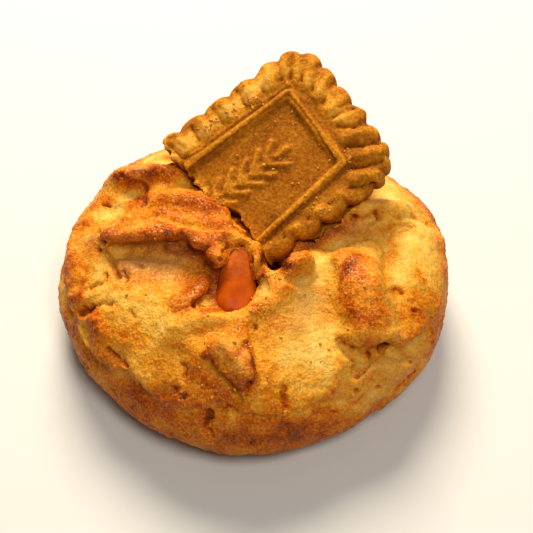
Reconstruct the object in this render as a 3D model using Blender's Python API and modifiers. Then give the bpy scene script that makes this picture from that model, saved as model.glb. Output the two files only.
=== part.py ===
"""A thick baked cookie, rounder than it is tidy, with half a pressed spiced biscuit leaning in its
crown and one wedge of cooked apple held in a fold of the dough. Metres, +Z up, base on z = 0."""

import math

import bmesh
import bpy
from mathutils import Matrix, Vector, noise

MM = 0.001
GAP = 0.35

# The cookie as a plain puck, before it is pushed into folds and swells (mm)
COOKIE_RADIUS = 41.2
RIM_HEIGHT = 11.0
CROWN_RISE = 16.5
BASE_SINK = 1.2
CROWN_SQUARENESS = 2.5
BASE_SQUARENESS = 3.4
MESH_CUTS = 59
VOXEL = 0.85
DOUGH_TRIANGLES = 7600

# Where the rim bulges or is pushed in: bearing and width in degrees, reach in mm
RIM_SWELLS = (
    (-136, 22, -1.5),
    (-98, 14, 0.5),
    (-58, 20, -1.4),
    (-4, 14, 0.3),
    (18, 9, 0.6),
    (44, 14, -1.6),
    (118, 28, -1.2),
)

# Height of the browned crust's lower edge all round: bearing in degrees, height in mm
CRUST_EDGE = (
    (-169, 17.0), (-158, 16.7), (-146, 15.6), (-119, 16.9), (-104, 16.2), (-88, 16.4),
    (-77, 15.4), (-67, 17.0), (-61, 19.5), (-54, 21.8), (-45, 20.8), (-37, 18.5),
    (-27, 17.1), (-15, 15.9), (12, 15.4), (60, 14.6), (115, 15.6), (160, 16.4),
)
CRUST_LIP = 0.8
CRUST_LIP_REACH = 2.4
WALL_SINK = 1.5
WALL_SINK_REACH = 3.2
CRUST_EDGE_WANDER = 1.6
CRUST_EDGE_LUMPS = 3.1

# Round swells and hollows of the crown: centre x and y, half lengths, turn in degrees, height (mm)
SWELLS = (
    (22.4, -15.6, 5.6, 9.4, 8, 3.6),
    (18.6, -8.4, 3.0, 2.6, 0, 1.0),
    (9.4, -10.2, 3.7, 3.2, 0, 3.4),
    (-14.0, 6.4, 9.5, 3.8, -14, 3.0),
    (9.0, 12.0, 10.5, 8.5, 0, 3.0),
    (33.0, -4.0, 5.0, 9.0, 0, 0.9),
    (-33.5, -7.0, 4.5, 7.0, 0, 0.8),
    (-3.6, -31.0, 4.6, 5.4, 20, 1.6),
)
SWELL_STEEPNESS = 2.8
HOLLOWS = (
    (4.6, -6.6, 3.6, 3.4, 10, 5.6),
    (-16.5, -8.4, 9.5, 4.4, -8, 3.4),
    (-4.4, -15.2, 4.6, 5.6, 0, 3.6),
    (-31.0, 7.4, 4.2, 4.6, 0, 1.8),
    (13.0, -18.5, 4.0, 8.0, 12, 1.5),
    (-27.3, -26.6, 2.6, 1.6, 20, 1.5),
    (-25.3, 13.8, 3.0, 1.7, 10, 3.0),
    (22.6, 3.0, 3.2, 1.4, 25, 1.8),
)

# Ridges and grooves of the crown: half width and height in mm, then the crest's x and y
RIDGES = (
    (2.2, 2.4, ((19.0, 3.6), (24.5, 6.0), (31.0, 8.8))),
    (2.4, 1.9, ((-15.5, -24.6), (-10.2, -22.8), (-5.0, -22.4), (-0.5, -21.0), (4.0, -17.8),
                (7.0, -14.8))),
    (2.8, -3.0, ((8.5, -5.2), (13.5, -2.4), (18.2, -0.6))),
    (2.3, -1.7, ((18.0, -2.6), (23.8, -0.6), (31.0, 1.8))),
    (2.0, -1.7, ((28.2, -3.0), (28.0, -12.5), (29.3, -20.5))),
    (1.9, 2.6, ((-0.8, -6.4), (1.3, -9.4), (1.7, -13.2))),
    (2.2, 1.0, ((-2.2, -25.0), (-0.9, -31.0), (-0.6, -35.6))),
)

# Folds of dough: height, reach behind and in front of the crest, lean, then the crest's x and y.
# The steep front of a fold is on the right hand of its crest as the points run.
FOLDS = (
    (3.4, 2.8, 3.0, 3.6, ((-30.0, 0.9), (-25.8, 2.4), (-20.2, 1.0), (-15.2, -0.6), (-10.5, -1.8),
                          (-6.0, -1.8), (-2.6, -2.6))),
    (2.9, 2.8, 1.9, 1.2, ((-30.0, 18.8), (-25.0, 17.4), (-20.5, 16.8), (-15.0, 16.6))),
    (2.2, 5.0, 2.0, 0.9, ((-9.5, -30.6), (-5.2, -33.2), (-0.9, -36.6))),
    (1.6, 3.4, 1.6, 1.1, ((-7.6, -12.2), (-8.9, -16.0), (-11.9, -18.2), (-15.4, -19.4))),
)

FOLD_ROLL = 0.6

# Slow unevenness over the whole cookie (mm)
LUMP_HEIGHT = 0.75
LUMP_LENGTH = 11.0

# The snapped biscuit: x runs from its short end to the break, y across, z out of its face (mm)
BISCUIT_PLACE = (13.5, 18.1, 39.2)
BISCUIT_SLOPE = 28.4
BISCUIT_SLOPE_BEARING = -112.4
BISCUIT_LENGTH_BEARING = -151.4
BISCUIT_THICKNESS = 7.0
BISCUIT_HALF_WIDTH = 17.6
BISCUIT_LEFT_EXTRA = 0.9
BISCUIT_END = -8.8
BISCUIT_FAR_END = 38.0
BISCUIT_CORNER = 7.4
LOBE_DEPTH = 1.0
LOBE_STEPS = 6
END_LOBES = 4
RIGHT_CORNER_LOBES = 3
LEFT_CORNER_LOBES = 2
SIDE_LOBES = 5
FRAME_HALF_WIDTH = 10.6
FRAME_FAR_END = 31.0
FRAME_CORNER = 1.4
FRAME_FLARE = 0.105

CLEARANCE_ABOVE = 9.0

# Rings of the biscuit from its back to its panel: share of the way from the edge to the frame's
# outer foot, height, share of the edge's lobes
BISCUIT_RINGS = (
    (0.16, -7.0, 0.7),
    (0.03, -6.2, 1.0),
    (0.00, -2.4, 1.0),
    (0.06, -1.1, 1.0),
    (0.22, -0.3, 0.9),
    (0.45, 0.0, 0.6),
    (0.80, -0.5, 0.2),
    (1.00, -0.7, 0.0),
    (1.07, 0.3, 0.0),
    (1.19, 0.3, 0.0),
    (1.30, -0.9, 0.0),
)

# Where the biscuit snapped: x and y of the break on its face (mm)
BREAK = (
    (28.4, -22.0), (28.2, -14.6), (28.8, -12.6), (27.8, -10.0), (27.6, -6.5), (27.0, -3.0),
    (26.4, 0.2), (25.2, 2.8), (24.3, 5.0), (24.5, 9.2), (24.8, 13.6), (25.4, 22.0),
)
BREAK_ROUGHNESS = 0.35
BREAK_STEP = 0.9
CUTTER_REACH = 60.0
CUTTER_HALF_HEIGHT = 12.0

# The wedge of apple: the middle of its lower and upper ends, then its sections (mm)
APPLE_FOOT = (-3.0, -19.4, 24.6)
APPLE_TIP = (-2.3, -6.6, 29.6)
APPLE_SECTIONS = (
    (0.00, 6.6, 4.6),
    (0.06, 7.8, 6.0),
    (0.35, 7.6, 6.4),
    (0.68, 6.2, 6.0),
    (0.93, 3.8, 4.4),
    (1.00, 2.4, 3.0),
)
APPLE_SIDES = 14
APPLE_SQUARENESS = 3.2


def falloff(distance, reach):
    return math.exp(-((distance / reach) ** 2))


def turned(x, y, degrees):
    """The plan offset (x, y) seen in axes turned by some degrees."""
    turn = math.radians(degrees)
    return (x * math.cos(turn) + y * math.sin(turn), y * math.cos(turn) - x * math.sin(turn))


def nearest_on(path, x, y):
    """Distance to a path in plan, the side it lies on (+1 right hand) and the way to the path."""
    best = None
    for (ax, ay), (bx, by) in zip(path, path[1:]):
        run = Vector((bx - ax, by - ay))
        share = max(0.0, min(1.0, ((x - ax) * run.x + (y - ay) * run.y) / run.length_squared))
        off = Vector((x - ax - run.x * share, y - ay - run.y * share))
        if best is None or off.length < best[0]:
            side = 1 if run.x * (y - ay) - run.y * (x - ax) < 0 else -1
            best = (off.length, side, Vector((run.y, -run.x)).normalized())
    return best


def rim_radius(bearing):
    """The rim's radius at a bearing in degrees, round to its swells."""
    radius = COOKIE_RADIUS
    for centre, width, reach in RIM_SWELLS:
        apart = (bearing - centre + 180) % 360 - 180
        radius += reach * falloff(apart, width)
    return radius


def crust_edge_height(bearing):
    points = [(CRUST_EDGE[-1][0] - 360, CRUST_EDGE[-1][1]), *CRUST_EDGE]
    points.append((CRUST_EDGE[0][0] + 360, CRUST_EDGE[0][1]))
    for (low, low_height), (high, high_height) in zip(points, points[1:]):
        if low <= bearing <= high:
            share = (bearing - low) / (high - low)
            share = share * share * (3 - 2 * share)
            return low_height + (high_height - low_height) * share
    return points[0][1]


def blank_point(direction):
    """Where a unit direction meets the plain puck, in mm."""
    flat = math.hypot(direction.x, direction.y)
    turn = math.atan2(direction.y, direction.x)
    crown = direction.z > 0
    squareness = CROWN_SQUARENESS if crown else BASE_SQUARENESS
    reach = rim_radius(math.degrees(turn)) * flat ** (2 / squareness)
    rise = CROWN_RISE if crown else RIM_HEIGHT + BASE_SINK
    z = RIM_HEIGHT + math.copysign(rise * abs(direction.z) ** (2 / squareness), direction.z)
    return Vector((reach * math.cos(turn), reach * math.sin(turn), z))


def crown_relief(x, y):
    """How far the crown moves at a plan position: sideways by its folds' lean, and up."""
    rise = 0.0
    lean = Vector((0, 0))
    for shapes, sign in ((SWELLS, 1), (HOLLOWS, -1)):
        for centre_x, centre_y, length, width, turn, height in shapes:
            across, along = turned(x - centre_x, y - centre_y, turn)
            away = math.hypot(across / length, along / width)
            rise += sign * height * math.exp(-(away ** SWELL_STEEPNESS))
    for half_width, height, path in RIDGES:
        distance, _, _ = nearest_on(path, x, y)
        rise += height * falloff(distance, half_width)
    for height, behind, front, push, path in FOLDS:
        distance, side, way = nearest_on(path, x, y)
        rise += height * falloff(distance, front if side > 0 else behind)
        ahead = distance if side > 0 else -distance * front / behind
        lean += way * push * falloff(ahead - FOLD_ROLL * front, FOLD_ROLL * front)
    return lean, rise


def shaped_point(direction):
    """The baked cookie's surface in a unit direction, in mm."""
    point = blank_point(direction)
    bearing = math.degrees(math.atan2(point.y, point.x))
    outward = Vector((point.x, point.y, 0)).normalized()
    wander = noise.noise(outward * CRUST_EDGE_LUMPS)
    depth = 0.65 + noise.noise(outward * CRUST_EDGE_LUMPS * 0.8 + Vector((0, 0, 5)))
    above = point.z - crust_edge_height(bearing) - wander * CRUST_EDGE_WANDER
    lip = CRUST_LIP * falloff(above - CRUST_LIP_REACH / 2, CRUST_LIP_REACH / 2)
    sink = WALL_SINK * falloff(above + WALL_SINK_REACH / 2, WALL_SINK_REACH / 2)
    point += outward * (lip - sink) * depth
    if direction.z > 0:
        lean, rise = crown_relief(point.x, point.y)
        share = min(1.0, direction.z / 0.25)
        point += Vector((lean.x, lean.y, rise)) * share
    lump = noise.noise(point / LUMP_LENGTH) * LUMP_HEIGHT
    point += direction * lump * min(1.0, max(0.0, point.z) / 6)
    point.z = max(point.z, 0.0)
    return point


def new_piece(name, mesh):
    piece = bpy.data.objects.new(name, mesh)
    bpy.context.scene.collection.objects.link(piece)
    return piece


def cut_away(piece, cutter):
    """Take the cutter out of the piece. The exact solver empties these lofts, the manifold one holds."""
    cut = piece.modifiers.new("cut", "BOOLEAN")
    cut.operation = "DIFFERENCE"
    cut.solver = "MANIFOLD"
    cut.object = cutter
    apply_modifiers(piece)
    bpy.data.objects.remove(cutter, do_unlink=True)


def apply_modifiers(piece):
    """Put what the modifiers show into the piece's own mesh."""
    depsgraph = bpy.context.evaluated_depsgraph_get()
    mesh = bpy.data.meshes.new_from_object(piece.evaluated_get(depsgraph))
    piece.modifiers.clear()
    piece.data = mesh


def lofted(name, rings):
    """A closed body through rings of equal numbers of points, capped at both ends."""
    bm = bmesh.new()
    loops = [[bm.verts.new(point) for point in ring] for ring in rings]
    count = len(loops[0])
    for lower, upper in zip(loops, loops[1:]):
        for i in range(count):
            j = (i + 1) % count
            bm.faces.new((lower[i], lower[j], upper[j], upper[i]))
    caps = [bm.faces.new(reversed(loops[0])), bm.faces.new(loops[-1])]
    bmesh.ops.triangulate(bm, faces=caps)
    bmesh.ops.recalc_face_normals(bm, faces=bm.faces)
    mesh = bpy.data.meshes.new(name)
    bm.to_mesh(mesh)
    bm.free()
    return new_piece(name, mesh)


def rounded_outline(half_width, end, corner, far_end, flare):
    """Points and outward ways round a rounded rectangle, each side with its own lobes' steps."""
    outline = []

    def straight(start, stop, way, lobes):
        for step in range(lobes * LOBE_STEPS):
            place = Vector(start).lerp(Vector(stop), step / (lobes * LOBE_STEPS))
            outline.append((place, Vector(way)))

    def arc(centre, from_angle, lobes):
        steps = lobes * LOBE_STEPS
        for step in range(steps):
            turn = math.radians(from_angle - 90 * step / steps)
            way = Vector((math.cos(turn), math.sin(turn)))
            outline.append((Vector(centre) + way * corner, way))

    inner = half_width - corner
    near, far = end + corner, far_end - corner
    straight((end, -inner), (end, inner), (-1, 0), END_LOBES)
    arc((near, inner), 180, RIGHT_CORNER_LOBES)
    straight((near, half_width), (far, half_width), (0, 1), SIDE_LOBES)
    arc((far, inner), 90, RIGHT_CORNER_LOBES)
    straight((far_end, inner), (far_end, -inner), (1, 0), END_LOBES)
    arc((far, -inner), 0, LEFT_CORNER_LOBES)
    straight((far, -half_width), (near, -half_width), (0, -1), SIDE_LOBES)
    arc((near, -inner), -90, LEFT_CORNER_LOBES)
    for place, _ in outline:
        if place.y > 0:
            place.y += flare * max(place.x, 0.0) * min(1.0, place.y / half_width)
    return outline


def biscuit_ring(share, lobe_share, grow=0.0):
    """One ring of the biscuit, between its lobed edge (0) and its frame (1) or inside (over 1)."""
    edge = rounded_outline(BISCUIT_HALF_WIDTH, BISCUIT_END, BISCUIT_CORNER, BISCUIT_FAR_END, 0.0)
    frame = rounded_outline(FRAME_HALF_WIDTH, 0.0, FRAME_CORNER, FRAME_FAR_END, FRAME_FLARE)
    ring = []
    for i, ((outer, way), (inner, _)) in enumerate(zip(edge, frame)):
        part_of_lobe = (i % LOBE_STEPS) / LOBE_STEPS
        lobe = LOBE_DEPTH * (math.sin(math.pi * part_of_lobe) ** 0.6 - 1)
        if outer.y < 0:
            outer.y -= BISCUIT_LEFT_EXTRA * min(1.0, -outer.y / BISCUIT_HALF_WIDTH)
        place = outer.lerp(inner, share)
        ring.append(place + way * (lobe * lobe_share + grow))
    return ring


def biscuit_place():
    """The biscuit's frame in the cookie, from its slope and the bearing of its length."""
    slope = math.radians(BISCUIT_SLOPE)
    towards = math.radians(BISCUIT_SLOPE_BEARING)
    face = Vector((math.sin(slope) * math.cos(towards), math.sin(slope) * math.sin(towards),
                   math.cos(slope)))
    heading = math.radians(BISCUIT_LENGTH_BEARING)
    length = Vector((math.cos(heading), math.sin(heading), 0))
    length.z = -(length.x * face.x + length.y * face.y) / face.z
    length.normalize()
    across = face.cross(length)
    turn = Matrix((length, across, face)).transposed().to_4x4()
    return Matrix.Translation(Vector(BISCUIT_PLACE)) @ turn


def break_cutter(clear):
    """A prism over everything past the break, its near wall rough as a snapped crumb is."""
    edge = []
    for (ax, ay), (bx, by) in zip(BREAK, BREAK[1:]):
        steps = max(1, round(math.hypot(bx - ax, by - ay) / BREAK_STEP))
        for step in range(steps):
            place = Vector((ax, ay)).lerp(Vector((bx, by)), step / steps)
            rough = noise.noise((place.x * 1.7, place.y * 1.7, 4.0)) * BREAK_ROUGHNESS * 2
            edge.append((place.x + rough + clear, place.y))
    edge.append((BREAK[-1][0] + clear, BREAK[-1][1]))
    edge += [(CUTTER_REACH, BREAK[-1][1]), (CUTTER_REACH, BREAK[0][1])]
    heights = (-CUTTER_HALF_HEIGHT, CUTTER_HALF_HEIGHT)
    rings = [[Vector((x, y, z)) for x, y in edge] for z in heights]
    return lofted("break_cutter", rings)


def biscuit():
    rings = []
    for share, height, lobe_share in BISCUIT_RINGS:
        rings.append([Vector((p.x, p.y, height)) for p in biscuit_ring(share, lobe_share)])
    piece = lofted("biscuit", rings)
    cut_away(piece, break_cutter(0.0))
    piece.data.transform(biscuit_place())
    return piece


def biscuit_clearance():
    """The biscuit's plain outer form, a gap larger all round, to cut its seat in the dough."""
    rings = []
    for height in (-BISCUIT_THICKNESS - GAP, CLEARANCE_ABOVE):
        rings.append([Vector((p.x, p.y, height)) for p in biscuit_ring(0.0, 1.0, grow=GAP + 0.1)])
    cutter = lofted("biscuit_clearance", rings)
    cut_away(cutter, break_cutter(GAP + BREAK_ROUGHNESS))
    cutter.data.transform(biscuit_place())
    return cutter


def apple_body(name, grow):
    """A wedge of squarish sections from its foot to its tip, both ends closed."""
    foot, tip = Vector(APPLE_FOOT), Vector(APPLE_TIP)
    along = (tip - foot).normalized()
    across = along.cross(Vector((0, 0, 1))).normalized()
    up = across.cross(along)
    rings = []
    for share, width, depth in APPLE_SECTIONS:
        middle = foot.lerp(tip, share) + along * grow * (1 if share > 0.5 else -1)
        ring = []
        for i in range(APPLE_SIDES):
            turn = 2 * math.pi * i / APPLE_SIDES
            side = math.copysign(abs(math.cos(turn)) ** (2 / APPLE_SQUARENESS), math.cos(turn))
            lift = math.copysign(abs(math.sin(turn)) ** (2 / APPLE_SQUARENESS), math.sin(turn))
            ring.append(middle + across * side * (width / 2 + grow)
                        + up * (lift * (depth / 2 + grow) - depth / 2))
        rings.append(ring)
    return lofted(name, rings)


def dough():
    """The puck pushed into shape, knitted where its folds lap, thinned, and seated round its fillings."""
    bm = bmesh.new()
    bmesh.ops.create_cube(bm, size=2)
    bmesh.ops.subdivide_edges(bm, edges=bm.edges, cuts=MESH_CUTS, use_grid_fill=True)
    for vertex in bm.verts:
        vertex.co = shaped_point((vertex.co + Vector((0, 0, 0.35))).normalized())
    mesh = bpy.data.meshes.new("dough")
    bm.to_mesh(mesh)
    bm.free()
    piece = new_piece("dough", mesh)
    knit = piece.modifiers.new("knit", "REMESH")
    knit.mode = "VOXEL"
    knit.voxel_size = VOXEL
    apply_modifiers(piece)
    for vertex in piece.data.vertices:
        vertex.co.z = 0.0 if vertex.co.z < VOXEL / 2 else vertex.co.z
    thin = piece.modifiers.new("thin", "DECIMATE")
    thin.ratio = DOUGH_TRIANGLES / (2 * len(piece.data.polygons))
    apply_modifiers(piece)
    cut_away(piece, biscuit_clearance())
    cut_away(piece, apple_body("apple_clearance", GAP))
    return piece


def material(name, colour, roughness):
    surface = bpy.data.materials.new(name)
    surface.use_nodes = True
    shader = surface.node_tree.nodes["Principled BSDF"]
    shader.inputs["Base Color"].default_value = (*colour, 1)
    shader.inputs["Roughness"].default_value = roughness
    shader.inputs["Metallic"].default_value = 0.0
    surface.diffuse_color = (*colour, 1)
    return surface


def finish(piece, surface, crease):
    piece.data.transform(Matrix.Scale(MM, 4))
    piece.data.materials.clear()
    piece.data.materials.append(surface)
    piece.data.shade_smooth()
    piece.data.set_sharp_from_angle(angle=math.radians(crease))


def main():
    for thing in list(bpy.data.objects):
        bpy.data.objects.remove(thing, do_unlink=True)
    finish(dough(), material("baked_dough", (0.52, 0.25, 0.06), 0.55), 50)
    finish(biscuit(), material("spiced_biscuit", (0.42, 0.17, 0.03), 0.65), 35)
    finish(apple_body("apple_wedge", 0.0), material("cooked_apple", (0.62, 0.14, 0.01), 0.25), 50)


main()
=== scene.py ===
"""The looks of a thick apple cookie: baked crust, a wedge of cooked apple, a snapped pressed biscuit
and its crumbs, on a pale floor in soft studio light."""

import math
import random

import bpy
import numpy as np
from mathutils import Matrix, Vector, noise
from mathutils.bvhtree import BVHTree


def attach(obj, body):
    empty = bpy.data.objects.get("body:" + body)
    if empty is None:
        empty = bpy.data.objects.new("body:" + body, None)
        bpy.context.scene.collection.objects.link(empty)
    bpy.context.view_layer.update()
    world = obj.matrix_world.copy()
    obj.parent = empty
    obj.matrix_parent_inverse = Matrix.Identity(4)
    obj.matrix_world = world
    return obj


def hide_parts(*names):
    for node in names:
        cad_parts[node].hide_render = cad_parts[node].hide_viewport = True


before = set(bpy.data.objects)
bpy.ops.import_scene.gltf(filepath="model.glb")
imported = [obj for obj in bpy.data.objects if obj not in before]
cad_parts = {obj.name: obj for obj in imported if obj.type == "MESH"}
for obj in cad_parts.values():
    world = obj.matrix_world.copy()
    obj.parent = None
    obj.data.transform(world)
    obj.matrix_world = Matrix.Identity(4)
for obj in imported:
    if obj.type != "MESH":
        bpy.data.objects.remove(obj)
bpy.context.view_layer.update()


# The baked crust
# A hand-shaped round of butter dough that was folded over its filling, then browned in the oven.
# It is the modelled round knitted finer, with its cracks, pits and welts worked into the surface.

MM = 0.001

# The size of the crust's knit (mm), the height of the underside that is thinned (mm), the share of
# all the faces that is left then, and the height below which points are set on the floor (mm)
CRUST_VOXEL = 0.46
UNDERSIDE = 0.15
FACES_LEFT = 0.80
ON_THE_FLOOR = 0.6

# Where the photo was taken from, in millimetres. What the photo shows on the crust is placed by the
# pixel where it is seen, cast from this camera on to the round. A pixel just past the edge takes
# the nearest place along its ray, at these shares of its length.
CAMERA_ELEVATION = math.radians(50)
CAMERA_DISTANCE = 280.0
AIM = Vector((2.75, 1.0, 14.0))
PIXELS_A_MM = 4.75
PHOTO_SIDE = 533
TO_CAMERA = Vector((0, -math.cos(CAMERA_ELEVATION), math.sin(CAMERA_ELEVATION)))
PICTURE_UP = Vector((0, math.sin(CAMERA_ELEVATION), math.cos(CAMERA_ELEVATION)))
ALONG_A_RAY = np.linspace(0.8, 1.2, 81)

# Lobes of dough squeezed up round the toppings: middle, half sizes (mm) and turn about +Z (degrees)
LOBES = (
    ((0.8, -8.6, 26.4), (2.1, 4.9, 4.5), 4),
    ((-19.3, -9.3, 22.8), (11.5, 8.0, 2.4), -4),
    ((-2.1, -5.6, 29.2), (2.2, 2.4, 1.5), 0),
    ((-6.6, -8.6, 28.2), (2.0, 2.6, 2.2), -25),
    ((9.6, -10.6, 27.0), (3.2, 2.6, 2.6), 20),
    ((22.0, 5.2, 26.3), (2.3, 1.8, 1.7), 10),
    ((26.2, 6.2, 25.3), (2.2, 1.6, 1.5), 0),
    ((3.8, -2.8, 24.6), (2.6, 1.2, 1.5), 10),
)

# Soft forms of the crust: rise, reach (mm) and path (pixels)
FORMS = (
    # the left fold's lip, and the pocket under it
    (0.8, 1.7, ((106, 236), (125, 238), (150, 233), (166, 231))),
    (-1.9, 1.1, ((112, 248), (126, 249), (142, 247), (165, 246), (186, 247), (198, 255))),
    (-1.2, 1.1, ((97, 231), (111, 221), (126, 213), (141, 213))),
    (1.4, 1.4, ((184, 235), (200, 242), (213, 253), (219, 261))),
    (0.7, 1.2, ((225, 232), (243, 236))),
    # the yellow lobe beside the apple, and the crater behind it
    (0.4, 1.2, ((254, 248), (256, 262), (256, 274))),
    (-0.4, 0.8, ((248, 268), (262, 267))),
    (-0.8, 1.2, ((252, 290), (264, 288), (270, 278))),
    # the lump right of the crater
    (1.2, 2.0, ((291, 265), (302, 256), (310, 251))),
    (-0.9, 1.1, ((317, 258), (318, 276), (303, 282), (288, 280))),
    # the torn flap in front of the pocket, and the ridge that runs on from it
    (0.5, 2.6, ((200, 270), (203, 284))),
    (-1.2, 1.1, ((204, 304), (212, 299))),
    (0.5, 2.0, ((200, 318), (222, 319), (246, 316), (268, 305), (284, 289))),
    (-0.6, 1.3, ((262, 284), (270, 292), (258, 297))),
    # the front lump's facet, its right edge and the drop in front of it
    (2.1, 2.2, ((220, 348), (236, 358), (244, 376))),
    (-1.9, 1.5, ((203, 366), (217, 380), (235, 399))),
    (0.6, 1.0, ((249, 345), (250, 362), (251, 382))),
    (-0.5, 1.2, ((257, 343), (258, 384))),
    (0.5, 1.8, ((228, 340), (240, 330))),
    # the right bulge and the grooves round it
    (0.8, 1.3, ((336, 259), (350, 248), (374, 243))),
    (0.9, 4.0, ((354, 284), (370, 292))),
    (-0.5, 1.8, ((329, 272), (331, 298), (338, 322))),
    (0.8, 2.2, ((352, 312), (366, 322), (384, 318))),
    (0.6, 1.8, ((372, 262), (374, 284))),
    (-0.6, 1.0, ((389, 246), (386, 268), (388, 289), (399, 294))),
    (-1.9, 1.3, ((343, 346), (355, 354), (368, 356), (386, 350), (402, 355), (414, 346), (427, 335),
                 (434, 318))),
    (-1.1, 1.1, ((366, 360), (357, 374))),
    (0.8, 2.0, ((372, 374), (392, 374), (410, 362))),
    (0.9, 1.8, ((356, 334), (375, 336), (396, 334))),
    # the lumps behind, beside the biscuit, and the valley before them
    (0.6, 1.2, ((357, 206), (366, 205))),
    (0.6, 1.0, ((371, 208), (379, 204), (387, 210))),
    (0.6, 1.2, ((372, 226), (390, 220))),
    (-1.1, 0.8, ((352, 217), (360, 222), (370, 221))),
    (-1.4, 0.9, ((352, 240), (358, 237), (364, 232))),
    (-0.5, 0.9, ((364, 236), (388, 232))),
    (0.5, 2.6, ((405, 212), (424, 232))),
    # the brown ridge and its hole behind on the left, the recess and the mound
    (1.0, 1.4, ((119, 173), (138, 167), (165, 169))),
    (-2.4, 1.2, ((130, 187), (139, 186))),
    (-1.2, 0.9, ((142, 192), (143, 203))),
    (-0.9, 2.2, ((112, 210), (128, 203))),
    (0.8, 2.4, ((160, 197), (184, 195), (205, 205))),
    (-1.1, 1.1, ((141, 213), (164, 216), (180, 222), (202, 226), (226, 226))),
    # the left bulge
    (0.8, 2.0, ((72, 258), (74, 280))),
    (-0.7, 0.9, ((72, 241), (79, 230), (91, 225))),
    (0.6, 1.3, ((70, 296), (82, 300))),
    (0.6, 1.6, ((92, 318), (100, 336))),
    # the edge of the crust over the side
    (-1.0, 1.1, ((68, 312), (78, 326), (87, 350), (92, 368))),
    (-1.1, 1.1, ((182, 415), (214, 411), (245, 419), (280, 421), (310, 414), (345, 403))),
    (0.4, 1.8, ((180, 404), (214, 400), (246, 408), (282, 410), (312, 403))),
)

# Gaps where the crust stands off the toppings: depth, reach (mm) and path (pixels)
GAPS = (
    (1.4, 1.0, ((222, 206), (236, 219), (246, 234))),
    (0.9, 1.5, ((308, 244), (320, 237), (336, 227))),
    (3.6, 1.7, ((267, 259), (277, 265), (286, 263))),
    (1.0, 0.8, ((214, 270), (213, 290))),
)

# Cracks with sharp beds: depth, half width (mm) and path (pixels)
CRACKS = (
    (1.9, 0.50, ((110, 253), (113, 262), (115, 269), (118, 275))),
    (1.0, 0.35, ((123, 270), (126, 276), (127, 281))),
    (0.8, 0.30, ((136, 263), (142, 267))),
    (1.2, 0.40, ((105, 273), (104, 281), (97, 284), (89, 288))),
    (2.4, 0.70, ((79, 312), (84, 310), (88, 307))),
    (1.0, 0.40, ((90, 306), (104, 303), (110, 304))),
    (0.8, 0.35, ((131, 311), (134, 317))),
    (0.5, 0.30, ((172, 312), (184, 309), (194, 304))),
    (1.6, 0.35, ((194, 304), (204, 299), (212, 290))),
    (1.0, 0.35, ((182, 364), (185, 370), (184, 377))),
    (1.1, 0.40, ((107, 349), (115, 355), (125, 366))),
    (1.4, 0.45, ((355, 369), (361, 370), (367, 365))),
    (1.4, 0.40, ((285, 387), (284, 394), (285, 401), (287, 408))),
    (1.0, 0.40, ((240, 352), (246, 342))),
    (1.6, 0.50, ((247, 391), (253, 383))),
    (1.2, 0.45, ((339, 340), (344, 346))),
    (1.5, 0.50, ((353, 350), (353, 358))),
    (0.9, 0.35, ((396, 289), (402, 294))),
    (0.4, 0.50, ((392, 228), (402, 225), (417, 227))),
    (0.3, 0.50, ((395, 234), (409, 231), (425, 238))),
    (0.4, 0.50, ((398, 219), (408, 217), (428, 224))),
    (0.2, 0.40, ((410, 208), (424, 213), (433, 224))),
    (1.5, 0.45, ((241, 246), (246, 256), (247, 268))),
    (1.6, 0.45, ((264, 259), (266, 271), (263, 281), (256, 285), (249, 282))),
    (0.9, 0.35, ((104, 205), (109, 207))),
    (1.0, 0.40, ((226, 247), (221, 260))),
    (0.9, 0.40, ((356, 404), (363, 398))),
    (1.0, 0.50, ((398, 390), (408, 379), (418, 372))),
    (0.8, 0.45, ((315, 412), (335, 411))),
    (1.4, 0.28, ((224, 414), (227, 409), (230, 407))),
    (1.0, 0.28, ((204, 427), (206, 421), (209, 418), (208, 413))),
    (0.8, 0.28, ((208, 430), (213, 433), (214, 438))),
)

# Pits: depth, half width (mm) and place (pixels)
PITS = (
    (1.8, 0.60, ((383, 347),)), (1.4, 0.50, ((369, 355),)), (0.8, 0.50, ((357, 376),)),
    (1.2, 0.80, ((355, 219),)), (2.0, 0.80, ((377, 216),)), (0.7, 0.40, ((87, 368),)),
    (0.8, 0.40, ((256, 327),)), (0.7, 0.50, ((415, 310),)), (0.8, 0.45, ((378, 388),)),
    (0.8, 0.45, ((356, 392),)), (0.7, 0.45, ((411, 361),)), (0.6, 0.80, ((175, 389),)),
    (0.6, 0.80, ((184, 397),)), (1.0, 0.50, ((103, 243),)), (0.9, 0.55, ((98, 250),)),
    (1.2, 0.60, ((251, 261),)), (0.9, 0.50, ((121, 176),)), (1.0, 0.50, ((335, 218),)),
    (0.6, 0.50, ((252, 445),)),
)

# The mesh is split finer round cracks and pits: how far past them (mm), and from what nearness on
FINER_PAST = 0.5
FINER_OVER = 0.35

# Cloudy relief of the whole crust: size of its bumps, and how high they stand (mm)
LUMPS = (3.0, 0.5)
WRINKLES = (1.9, 0.16)
CRUMB = (1.3, 0.34)

# How strokes waver: size and width of the waves (mm)
FORM_WAVER = (2.5, 0.7)
CRACK_WAVER = (1.2, 0.35)
BROWN_WAVER = (3.0, 1.0)

# How many times its reach a stroke goes on: with a soft edge, and with a sharp edge
SOFT_END = 3
SHARP_END = 6
# Pushes weaker than this share of the strongest are left out
FAINT = 0.01
# How close loose corners are to be merged (mm)
MERGED = 0.01

# The crust clings to its neighbours: from how near (mm), and over what share of the contact
TO_BISCUIT = (1.5, 0.75)
TO_APPLE = (1.0, 0.7)
# The size of the patches where it clings (mm), how sharp their edges are, how steeply the pull
# grows, and how far off it stops (mm)
CLING_PATCH = 3
CLING_EDGE = 4
CLING_PULL = 2.0
CLING_OFF = 0.02
# A gap stays open over this many times its reach, with this firmness
OPEN_REACH = 1.4
OPEN_FIRMNESS = 1.5


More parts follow.
